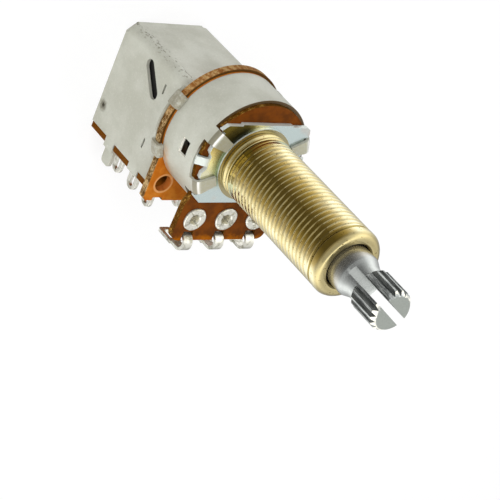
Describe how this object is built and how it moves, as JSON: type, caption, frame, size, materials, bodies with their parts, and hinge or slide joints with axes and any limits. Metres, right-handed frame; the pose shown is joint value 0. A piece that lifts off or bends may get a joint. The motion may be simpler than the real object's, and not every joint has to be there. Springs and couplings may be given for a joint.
{
  "type": "push-pull potentiometer",
  "caption": "Rotary potentiometer with a long threaded bushing, a knurled split shaft and a push-pull slide switch behind the can.",
  "frame": {"origin": "on the shaft's axis, at the outer face of the front plate, where the bushing starts", "axes": "+Z along the shaft's axis, outward; +X along the row of three terminals; -Y towards the terminals"},
  "size_m": [0.0182, 0.0242, 0.0557],
  "materials": {
    "brass": "turned brass",
    "zinc_plate": "bright zinc plate with a pale chromate tint",
    "tin_plate": "satin tin-plated sheet steel",
    "contact_tin": "bright tinned brass",
    "board_dark": "dark brown phenolic laminate",
    "board_orange": "orange-brown phenolic laminate",
    "carbon": "printed carbon film",
    "aluminium": "turned aluminium",
    "black_plastic": "moulded black plastic"
  },
  "bodies": {
    "base": {"bushing": "brass", "front_plate": "zinc_plate", "element_board": "board_dark", "resistive_track": "carbon", "collector_ring": "contact_tin", "terminal_left": "contact_tin", "terminal_middle": "contact_tin", "terminal_right": "contact_tin", "eyelet_left": "contact_tin", "eyelet_middle": "contact_tin", "eyelet_right": "contact_tin", "can": "tin_plate", "rear_board": "board_orange", "switch_frame": "tin_plate", "switch_terminal_board": "board_orange", "switch_lug_1": "contact_tin", "switch_lug_2": "contact_tin", "switch_lug_3": "contact_tin", "switch_lug_4": "contact_tin", "switch_lug_5": "contact_tin", "switch_lug_6": "contact_tin", "detent_spring": "contact_tin"},
    "rotor_body": {"rotor": "black_plastic", "wiper_spring": "brass"},
    "shaft_body": {"shaft": "aluminium", "retaining_clip": "tin_plate"},
    "slider": {"slide_block": "black_plastic", "bridge_contact_left": "brass", "bridge_contact_right": "brass"}
  },
  "joints": [
    {"name": "turn", "type": "hinge", "parent": "base", "child": "rotor_body", "pos_m": [0, 0, 0], "axis": [0, 0, 1], "range_deg": [-150, 150]},
    {"name": "pull", "type": "slide", "parent": "rotor_body", "child": "shaft_body", "axis": [0, 0, 1], "range_m": [0, 0.004]},
    {"name": "switch_slide", "type": "slide", "parent": "base", "child": "slider", "axis": [0, 0, 1], "range_m": [0, 0.004]}
  ],
  "couplings": [
    {"joint": "switch_slide", "follows": "pull", "ratio": 1}
  ]
}
